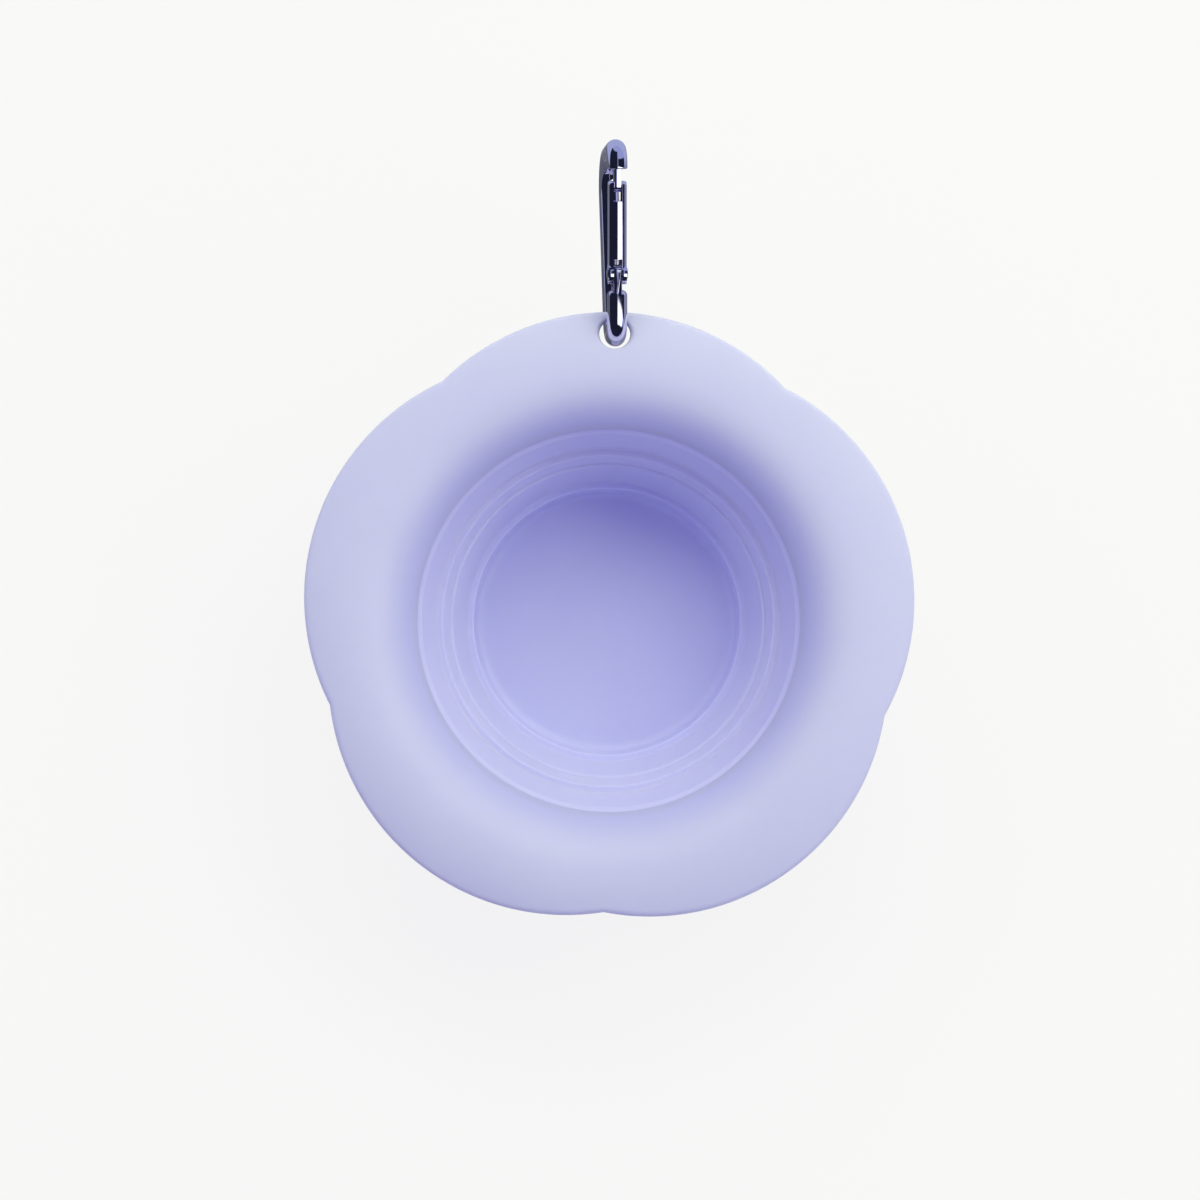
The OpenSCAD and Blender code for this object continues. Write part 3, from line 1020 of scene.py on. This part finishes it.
@dataclass
class BaseCup:
    """The stiff foot of the bowl: a low cup with a ridge, a flat floor and a hollow under it."""

    h: float = 11.4
    ridge_r: float = 34.6
    out_r: float = 37.4
    floor_r: float = 33.0
    floor_t: float = 2.6
    fillet: float = 2.2
    foot_r: float = 35.4
    foot_round: float = 1.2
    foot_w: float = 6.0
    hollow: float = 0.6
    sprue_r: float = 2.4
    sprue_h: float = 0.25
    sprue_round: float = 0.1
    bead: float = 0.35
    edge_round: float = 0.2
    longest: float = 1.2

    def build(self, finish: bpy.types.Material) -> bpy.types.Object:
        """Turns the cup, with the small round mark of its mould under the floor, and dresses it.

        Args:
            finish: its silicone.

        Returns:
            The cup.
        """
        hollow_r = self.foot_r - self.foot_w
        piece = turned("base_cup_shell", [
            (0, self.hollow - self.sprue_h, 0),
            (self.sprue_r, self.hollow - self.sprue_h, self.sprue_round),
            (self.sprue_r + self.sprue_round, self.hollow, self.sprue_round),
            (hollow_r, self.hollow, self.edge_round),
            (hollow_r + self.hollow, 0, self.edge_round),
            (self.foot_r, 0, self.foot_round),
            (self.out_r, self.h, self.edge_round),
            *Ridge(self.ridge_r, self.h, self.bead).corners(),
            (self.floor_r, self.floor_t, self.fillet),
            (0, self.floor_t, 0),
        ], self.longest)
        return dress(piece, finish, "base_cup", Body.BASE)


@dataclass
class SnapHook:
    """The pear-shaped snap hook: a bent rod with a flat tongue and neck, and its sprung gate."""

    swing: Place = (0.0, 74.85, 46.2444)
    twist: float = 4.6
    yaw: float = 2.0
    lean: float = 9.5
    rod_r: float = 2.5
    bend_r: float = 5.05
    spine: Point = (31.95, -2.35558)
    nose: Point = (35.95, 7.08057)
    spine_t: float = 31.9006
    nose_t: float = 36.6256
    leg_len: float = 6.7
    nose_end: float = 0.5
    end_round: float = 1.4
    nose_round: float = 0.4
    pivot_t: float = 10.7
    tongue_t: float = 1.8
    tongue_w: float = 4.6
    tongue_round: float = 0.8
    tongue_reach: float = 1.8
    neck_w: float = 3.2
    neck_lap: float = 2.7
    neck_flat: float = 0.02
    nose_gap: float = 2.9
    gate_w: float = 4.4
    gate_r: float = 2.6
    gate_len: float = 22.5256
    tip_round: float = 1.0
    slot_w: float = 2.1
    tongue_slot: float = 3.6
    neck_slot: float = 4.9
    knuckle_proud: float = 0.02
    bore_r: float = 1.0
    bore_depth: float = 12.4256
    rivet_r: float = 1.0
    rivet_play: float = 0.05
    rivet_head_r: float = 1.5
    rivet_head_h: float = 0.45
    rivet_dome: float = 0.8
    plunger_r: float = 0.95
    plunger_x: float = 1.88
    plunger_len: float = 4.45363
    plunger_round: float = 0.5
    plunger_back: float = 0.1
    spring_r: float = 0.76
    spring_x: float = 6.39363
    spring_end: float = 15.9656
    spring_turns: int = 10
    wire_r: float = 0.18
    spring_keep: float = 0.937
    plate_bevel: Point = (0.12, 40.0)
    gate_bevel: Point = (0.11, 32.0)
    over: float = 1.0
    sides: int = 56
    gate_sides: int = 112
    pin_sides: int = 48
    bore_sides: int = 40
    rivet_sides: int = 64
    wire_sides: int = 14
    coil_parts: int = 28
    dome_parts: int = 6
    round_parts: int = 8
    bend_least: int = 8
    bend_degrees: float = 4.0
    rod_hard: float = 35.0
    pin_hard: float = 40.0
    spring_hard: float = 50.0

    @property
    def frame(self) -> Matrix:
        """Places the hook's plane in the hang hole: Y along the hook and Z towards its gate."""
        yaw, twist = math.radians(self.yaw), math.radians(self.twist)
        turn = Matrix.Rotation(yaw, 4, "Z") @ Matrix.Rotation(twist, 4, "Y")
        return Matrix.Translation(Vector(self.swing) * MM) @ turn

    def on_leg(self, t: float) -> Matrix:
        """Places a piece on the gate's side of the hook, at a distance along it."""
        lean = Matrix.Rotation(math.radians(self.lean), 4, "X")
        return self.frame @ lean @ Matrix.Translation(Vector((0, t, self.bend_r)) * MM)

    def build(
        self, plating: bpy.types.Material, steel: bpy.types.Material
    ) -> list[bpy.types.Object]:
        """Builds and dresses the rod, the gate and what is in the gate.

        Args:
            plating: the finish of the rod and the gate.
            steel: the finish of the small pieces.

        Returns:
            The pieces.
        """
        return [
            dress(self.rod(), plating, "hook_frame", Body.HOOK),
            dress(self.gate(), plating, "hook_gate", Body.GATE),
            dress(self.rivet(), steel, "gate_rivet", Body.GATE),
            dress(self.plunger(), steel, "gate_plunger", Body.PLUNGER),
            self.squashed(dress(self.spring(), steel, "gate_spring", Body.GATE)),
        ]

    @staticmethod
    def _ring(name: str, sides: int, radius: float, at: Vector, tilt: float) -> bpy.types.Object:
        """Draws the ring that a round bar or a wire starts from.

        Args:
            name: the piece's name.
            sides: the number of its points.
            radius: its radius.
            at: its centre.
            tilt: its turn round X.

        Returns:
            The new piece.
        """
        Bench.fresh()
        bpy.ops.mesh.primitive_circle_add(
            vertices=sides, radius=radius * MM, location=at * MM, rotation=(tilt, 0, 0)
        )
        piece = bpy.context.object
        piece.name = name
        Bench.settle()
        return piece

    def rod(self) -> bpy.types.Object:
        """Sweeps the rod from its shoulder to its nose, and joins the tongue and the neck to it.

        Returns:
            The rod.
        """
        lean = math.radians(self.lean)
        up_leg = Vector((0, math.cos(lean), math.sin(lean)))
        down_spine = Vector((0, math.cos(lean), -math.sin(lean)))
        start = Matrix.Rotation(lean, 4, "X") @ Vector((0, self.leg_len, self.bend_r))
        end_r = self.rod_r - self.end_round
        piece = self._ring("hook_rod", self.sides, end_r, start, lean - math.pi / 2)
        Bench.edit()
        self._dome(-up_leg, self.end_round, True)
        self._straight(-up_leg, self.leg_len - self.end_round)
        self._bend((0, 0), math.pi - 2 * lean)
        self._straight(down_spine, self.spine_t)
        self._bend(self.spine, math.pi / 2 + lean)
        self._straight(Vector((0, 0, 1)), self.nose[1] - self.spine[1])
        self._bend(self.nose, math.pi / 2 + lean)
        self._straight(-up_leg, self.nose_end - self.nose_round)
        self._dome(-up_leg, self.nose_round, False)
        Bench.close(True)
        Bench.put(piece, self.frame)
        Bench.combine(piece, self._tongue(), Cut.JOIN)
        Bench.combine(piece, self._neck(), Cut.JOIN)
        Bench.smooth(piece, self.rod_hard)
        return piece

    def _dome(self, way: Vector, rounding: float, opening: bool) -> None:
        """Rounds an end of the rod.

        Args:
            way: the direction of the sweep.
            rounding: radius of the rounding.
            opening: whether the sweep goes from the flat end to the full rod.
        """
        angles = [math.pi / 2 * t for t in shares(self.dome_parts)]
        if not opening:
            angles.reverse()
        rows = [(rounding * math.cos(a), self.rod_r - rounding * (1 - math.sin(a))) for a in angles]
        for (near, small), (far, large) in zip(rows, rows[1:]):
            self._straight(way, abs(far - near))
            bpy.ops.transform.resize(value=(large / small,) * 3)

    @staticmethod
    def _straight(way: Vector, length: float) -> None:
        """Extrudes the open end of the rod along a line."""
        bpy.ops.mesh.extrude_edges_move(TRANSFORM_OT_translate={"value": way * length * MM})

    def _bend(self, centre: Point, angle: float) -> None:
        """Spins the open end of the rod round a bend, from along the hook towards its gate.

        Args:
            centre: the bend's centre in the hook's plane.
            angle: the angle of the bend, in radians.
        """
        steps = max(self.bend_least, round(math.degrees(angle) / self.bend_degrees))
        middle = (0, centre[0] * MM, centre[1] * MM)
        bpy.ops.mesh.spin(steps=steps, angle=-angle, center=middle, axis=(1, 0, 0), dupli=False)

    def _plate(
        self, name: str, low: float, high: float, width: float, corner: float, top: bool
    ) -> bpy.types.Object:
        """A flat plate along the hook, with the corners of one end rounded.

        Args:
            name: the piece's name.
            low: where it starts along the hook.
            high: where it ends.
            width: its width.
            corner: radius of the corners.
            top: whether the far end is the round one.

        Returns:
            The plate.
        """
        half = self.tongue_t / 2
        piece = Bench.block(name, (-half, low, -width / 2), (half, high, width / 2))
        points = piece.data.vertices
        end = high if top else low
        chosen = [
            e.index for e in piece.data.edges
            if all(abs(points[v].co.y - end * MM) < SAME_LEVEL for v in e.vertices)
            and abs(points[e.vertices[0]].co.z - points[e.vertices[1]].co.z) < SAME_LEVEL
        ]
        Bench.round_corners(piece, chosen, corner)
        Bench.soften(piece, *self.plate_bevel)
        return piece

    def _tongue(self) -> bpy.types.Object:
        """The flat end of the rod that the gate turns on.

        Returns:
            The tongue, with the rivet's hole in it.
        """
        tip = self.pivot_t + self.tongue_reach
        piece = self._plate("tongue", self.leg_len / 2, tip, self.tongue_w, self.tongue_round, True)
        Bench.put(piece, self.on_leg(0))
        Bench.combine(piece, self._pin(self.rivet_r + self.rivet_play), Cut.CUT)
        return piece

    def _neck(self) -> bpy.types.Object:
        """The flat neck under the nose, with a round end.

        Returns:
            The neck.
        """
        reach = self.nose_end + self.nose_gap + self.neck_lap
        corner = self.neck_w / 2 - self.neck_flat
        piece = self._plate("neck", -reach, self.rod_r / 2, self.neck_w, corner, False)
        return Bench.put(piece, self.on_leg(self.nose_t))

    def _drum(self, radius: float, depth: float, sides: int) -> bpy.types.Object:
        """A round bar along the rivet's axis.

        Args:
            radius: its radius.
            depth: its length.
            sides: the number of its sides.

        Returns:
            The bar.
        """
        Bench.fresh()
        bpy.ops.mesh.primitive_cylinder_add(
            vertices=sides, radius=radius * MM, depth=depth * MM, rotation=(0, math.pi / 2, 0)
        )
        tool = bpy.context.object
        Bench.settle()
        return Bench.put(tool, self.on_leg(self.pivot_t))

    def _pin(self, radius: float) -> bpy.types.Object:
        """A round tool for the rivet's hole."""
        return self._drum(radius, 4 * self.rod_r, self.pin_sides)

    def _along(self, x: float) -> Matrix:
        """Lays a turned piece along the gate, at a distance from the rivet."""
        lay = Matrix.Rotation(-math.pi / 2, 4, "X")
        return self.on_leg(self.pivot_t + x) @ lay

    def gate(self) -> bpy.types.Object:
        """The gate: a round bar with flat sides, slotted at both ends and bored for its plunger.

        Returns:
            The gate.
        """
        length, far = self.gate_len, 2 * self.gate_r
        bar = [(0, 0), (self.gate_r, 0), (self.gate_r, length - self.tip_round)]
        for turn in (math.pi / 2 * t for t in shares(self.round_parts)[1:]):
            tip_r = self.gate_r - self.tip_round * (1 - math.cos(turn))
            bar.append((tip_r, length - self.tip_round * (1 - math.sin(turn))))
        piece = Bench.lathe("hook_gate_bar", [*bar, (0, length)], self.gate_sides)
        Bench.put(piece, self._along(0))
        self._work(piece, self.gate_w, -far, length + self.over, Cut.KEEP)
        proud = self.knuckle_proud
        knuckle = self._drum(self.gate_r + proud, self.gate_w + proud, self.gate_sides)
        Bench.combine(piece, knuckle, Cut.JOIN)
        self._work(piece, self.slot_w, -far, self.tongue_slot, Cut.CUT)
        self._work(piece, self.slot_w, length - self.neck_slot, length + self.over, Cut.CUT)
        depth = self.bore_depth + self.over
        profile = [(0, 0), (self.bore_r, 0), (self.bore_r, depth), (0, depth)]
        bore = Bench.lathe("bore", profile, self.bore_sides)
        Bench.combine(piece, Bench.put(bore, self._along(self.tongue_slot - self.over)), Cut.CUT)
        Bench.combine(piece, self._pin(self.rivet_r), Cut.CUT)
        Bench.soften(piece, *self.gate_bevel)
        Bench.smooth(piece, self.gate_bevel[1])
        Bench.apply(piece, "WEIGHTED_NORMAL", weight=100, keep_sharp=True)
        return piece

    def _work(
        self, piece: bpy.types.Object, width: float, low: float, high: float, cut: Cut
    ) -> None:
        """Works the gate with a block across its flat sides.

        Args:
            piece: the gate.
            width: the block's width across them.
            low: where the block starts along the gate.
            high: where it ends.
            cut: what the block does.
        """
        far = 2 * self.gate_r
        tool = Bench.block("tool", (-width / 2, low, -far), (width / 2, high, far))
        Bench.combine(piece, Bench.put(tool, self.on_leg(self.pivot_t)), cut)

    def rivet(self) -> bpy.types.Object:
        """The rivet of the gate, with a domed head on each flat side.

        Returns:
            The rivet.
        """
        half, high = self.gate_w / 2, self.rivet_head_h
        head = [(self.rivet_head_r, half)]
        for turn in (math.pi / 2 * t for t in shares(self.round_parts)[1:-1]):
            rise = high * math.sin(turn) ** self.rivet_dome
            head.append((self.rivet_head_r * math.cos(turn), half + rise))
        head.append((0, half + high))
        profile = [(r, -z) for r, z in reversed(head)]
        profile += [(self.rivet_r, -half), (self.rivet_r, half), *head]
        piece = Bench.lathe("gate_rivet_pin", profile, self.rivet_sides)
        Bench.put(piece, self.on_leg(self.pivot_t) @ Matrix.Rotation(math.pi / 2, 4, "Y"))
        Bench.smooth(piece, self.pin_hard)
        return piece

    def plunger(self) -> bpy.types.Object:
        """The pin that the spring presses against the tongue.

        Returns:
            The pin.
        """
        profile = rounded([
            (0, 0, 0),
            (self.plunger_r, 0, self.plunger_round),
            (self.plunger_r, self.plunger_len, self.plunger_back),
            (0, self.plunger_len, 0),
        ])
        piece = Bench.lathe("gate_plunger_pin", profile, self.pin_sides)
        Bench.put(piece, self._along(self.plunger_x))
        Bench.smooth(piece, self.pin_hard)
        return piece

    def spring(self) -> bpy.types.Object:
        """The coil spring in the gate's bore, wound from one round wire.

        Returns:
            The spring.
        """
        start = Vector((self.spring_r, 0, 0))
        piece = self._ring("gate_coil_spring", self.wire_sides, self.wire_r, start, math.pi / 2)
        rise = self.spring_end - self.spring_x - 2 * self.wire_r
        turns = self.spring_turns * self.coil_parts
        Bench.apply(
            piece, "SCREW", axis="Z", angle=math.tau * self.spring_turns, screw_offset=rise * MM,
            steps=turns, render_steps=turns,
        )
        Bench.edit()
        Bench.close(True)
        Bench.put(piece, self._along(self.spring_x + self.wire_r))
        Bench.smooth(piece, self.spring_hard)
        return piece

    def squashed(self, piece: bpy.types.Object) -> bpy.types.Object:
        """Gives the spring a mesh of its own, not shared with any other object.

        Args:
            piece: the spring.

        Returns:
            The spring.
        """
        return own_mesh(piece)


@dataclass(frozen=True)
class Cards:
    """What bright metal mirrors: dark cards overhead, a bright strip and a soft lavender room."""

    room: Colour = (0.36, 0.41, 0.68)
    dark: Colour = (0.012, 0.014, 0.03)
    bright: Colour = (2.2, 2.2, 2.3)
    dark_turn: Point = (-95.0, 4.0)
    dark_along: Point = (-2.0, 0.85)
    side_turn: Point = (-140.0, -50.0)
    side_along: Point = (0.28, 0.66)
    arch_turn: Point = (10.0, 88.0)
    arch_along: Point = (-0.14, 0.42)
    low_turn: Point = (-200.0, 200.0)
    low_along: Point = (-2.0, -0.5)
    bright_turn: Point = (9.0, 63.0)
    bright_along: Point = (-0.6, -0.14)
    soft: float = 3.0
    soft_along: float = 0.04

    def colour(self, bench: NodeBench) -> Shade:
        """The colour that a mirrored ray meets, by its direction.

        Args:
            bench: the bench of the surround's tree.

        Returns:
            The colour.
        """
        way = bench.value("ShaderNodeTexCoord", "Generated")
        across, along, up = bench.axes(way, "XYZ")
        turn = bench.maths("ARCTAN2", across, up) * math.degrees(1.0)
        cards = [
            (self.dark_turn, self.dark_along, self.dark),
            (self.side_turn, self.side_along, self.dark),
            (self.arch_turn, self.arch_along, self.dark),
            (self.low_turn, self.low_along, self.dark),
            (self.bright_turn, self.bright_along, self.bright),
        ]
        colour: object = self.room
        for turns, lengths, tint in cards:
            on_card = bench.within(turn, *turns, self.soft)
            on_card = on_card * bench.within(along, *lengths, self.soft_along)
            colour = bench.mix(on_card, colour, tint)
        return colour


@dataclass
class Studio:
    """The pale floor, the soft lamps and the camera over the bowl's mouth."""

    floor_size: float = 6.0
    floor_tone: float = 0.86
    floor_mirrored: Colour = (0.20, 0.20, 0.31)
    floor_left: Colour = (0.045, 0.05, 0.09)
    floor_turns: Point = (-0.012, 0.006)
    floor_ends: Point = (0.135, 0.01)
    paper_tone: float = 0.934
    paper_share: float = 0.90
    ambient: Colour = (0.435, 0.41, 0.61)
    lamps_off: float = 1.2
    key_way: Point = (66.0, 46.0)
    key_span: Point = (2.3, 0.8)
    key_power: float = 20.8
    key_colour: Colour = (0.95, 1.0, 0.57)
    left_way: Point = (165.0, 33.0)
    right_way: Point = (322.0, 22.0)
    fill_span: Point = (0.5, 0.5)
    fill_power: float = 2.3
    fill_colour: Colour = (1.0, 1.0, 0.8)
    camera_at: Place = (-0.0167, -0.0090, 1.050)
    aim: Place = (-0.0024, 0.0049, 0.050)
    roll: float = 1.1
    lens: float = 122.75
    sensor: float = 36.0

    def build(self) -> None:
        """Sets up the stage."""
        scene = bpy.context.scene
        scene.view_settings.view_transform = "Standard"
        self._world(scene)
        self._floor()
        self._lamps()
        self._camera(scene)

    @staticmethod
    def _rays(bench: NodeBench) -> tuple[Shade, Shade]:
        """Sorts the rays that arrive.

        Args:
            bench: the bench of the tree that asks.

        Returns:
            1 for rays from the camera or through something clear, and 1 for mirrored rays.
        """
        path = bench.node("ShaderNodeLightPath")
        kinds = ("Is Camera Ray", "Is Transmission Ray", "Is Glossy Ray")
        camera, clear, mirrored = (Shade(bench, path.outputs[name]) for name in kinds)
        return bench.maths("MAXIMUM", camera, clear), mirrored

    def _world(self, scene: bpy.types.Scene) -> None:
        """A plain pale surround that lights the bowl softly from all sides.

        Args:
            scene: the scene.
        """
        scene.world = bpy.data.worlds.new("surround")
        scene.world.use_nodes = True
        bench = NodeBench(scene.world.node_tree)
        seen, mirrored = self._rays(bench)
        plain = bench.mix(seen, self.ambient, (self.paper_tone,) * 3)
        colour = bench.mix(mirrored, plain, Cards().colour(bench))
        shader = bench.node("ShaderNodeBackground", None, {"Color": colour})
        bench.node("ShaderNodeOutputWorld", None, {"Surface": shader.outputs[0]})

    def _floor(self) -> None:
        """A wide pale floor that keeps a soft shadow."""
        Bench.fresh()
        bpy.ops.mesh.primitive_plane_add(size=self.floor_size)
        floor = bpy.context.object
        floor.name = "floor"
        paper, bench = fresh_material("paper")
        seen, mirrored = self._rays(bench)
        matt = bench.node("ShaderNodeBsdfDiffuse", None, {"Color": (*(self.floor_tone,) * 3, 1)})
        tone = bench.mix(mirrored, (self.paper_tone,) * 3, self._mirrored_floor(bench))
        glow = bench.node("ShaderNodeEmission", None, {"Color": tone})
        share = bench.maths("MAXIMUM", seen, mirrored) * self.paper_share
        ends = {1: matt.outputs[0], 2: glow.outputs[0]}
        bench.surface(bench.node("ShaderNodeMixShader", None, {0: share, **ends}))
        floor.data.materials.append(paper)

    def _mirrored_floor(self, bench: NodeBench) -> Shade:
        """The floor's colour in bright metal: dark on the left, and as the room beyond the hook.

        Args:
            bench: the bench of the floor's tree.

        Returns:
            The colour.
        """
        across, along = bench.axes(bench.place(), "XY")
        side = bench.step(across, *self.floor_turns)
        near = bench.mix(side, self.floor_left, self.floor_mirrored)
        return bench.mix(bench.step(along, *self.floor_ends), near, Cards().room)

    def _lamps(self) -> None:
        """The soft main lamp from the upper right, and a weak one on each side."""
        self._lamp("key", self.key_way, self.key_span, self.key_power, self.key_colour)
        for name, way in (("left_fill", self.left_way), ("right_fill", self.right_way)):
            self._lamp(name, way, self.fill_span, self.fill_power, self.fill_colour)

    def _lamp(self, name: str, way: Point, span: Point, power: float, colour: Colour) -> None:
        """Hangs a lamp that faces the bowl and that bright metal doesn't mirror.

        Args:
            name: the lamp's name.
            way: its turn round the bowl and its height over it, in degrees.
            span: its two sides, in metres.
            power: its power, in watts.
            colour: its colour.
        """
        turn, high = (math.radians(v) for v in way)
        flat = math.cos(high)
        towards = Vector((flat * math.cos(turn), flat * math.sin(turn), math.sin(high)))
        data = bpy.data.lights.new(name, "AREA")
        data.shape = "RECTANGLE"
        data.size, data.size_y = span
        data.energy = power
        data.color = colour
        lamp = bpy.data.objects.new(name, data)
        bpy.context.scene.collection.objects.link(lamp)
        lamp.visible_glossy = False
        lamp.location = Vector(self.aim) + towards * self.lamps_off
        lamp.rotation_mode = "QUATERNION"
        lamp.rotation_quaternion = (-towards).to_track_quat("-Z", "Y")

    def _camera(self, scene: bpy.types.Scene) -> None:
        """The camera over the mouth, a little to one side of the axis.

        Args:
            scene: the scene.
        """
        data = bpy.data.cameras.new("camera")
        data.lens = self.lens
        data.sensor_width = self.sensor
        camera = bpy.data.objects.new("camera", data)
        scene.collection.objects.link(camera)
        back = (Vector(self.camera_at) - Vector(self.aim)).normalized()
        right = Vector((0, 1, 0)).cross(back).normalized()
        look = Matrix((right, back.cross(right), back)).transposed().to_4x4()
        turn = Matrix.Rotation(math.radians(self.roll), 4, "Z")
        camera.matrix_world = Matrix.Translation(self.camera_at) @ look @ turn
        scene.camera = camera


def main() -> None:
    """Builds the pieces in order, from the foot up, then the stage."""
    logging.basicConfig(level=logging.INFO, format="%(message)s")
    # The rim's silicone carries a painted shade round the inside of its lip.
    silicone = Silicone(painted_throat_shade=(0.385, 0.396, 0.720)).material()
    # Painted shade: the inside and thin copies are the same silicone, tinted darker and bluer to
    # stand in for the shade and bounced light inside the bowl.
    inner = Silicone("silicone_inside_painted_shade", (0.515, 0.520, 0.855), (0.485, 0.490, 0.835)).material()
    thin = Silicone(
        "silicone_thin", (0.500, 0.505, 0.805), (0.465, 0.470, 0.790), spread_share=0.4
    ).material()
    lower = Fold(
        "lower_fold_band", "lower_fold", foot_in=35.4, top_in=38.8, hinge_in=39.9, z=11.4, h=13.6,
        below=Body.BASE, above=Body.RING, rise=0.75, lift=0.3,
    )
    upper = Fold(
        "upper_fold_band", "upper_fold", foot_in=42.8, top_in=46.1, hinge_in=48.1, z=29.4, h=14.2,
        below=Body.RING, above=Body.RIM, rise=-1.7, lift=1.4,
    )
    BaseCup().build(inner)
    lower.build(thin)
    MiddleRing().build(thin)
    upper.build(thin)
    PetalRim().build(silicone)
    SnapHook().build(Plating().material(), Steel().material())
    Studio().build()


if __name__ == "__main__":
    main()
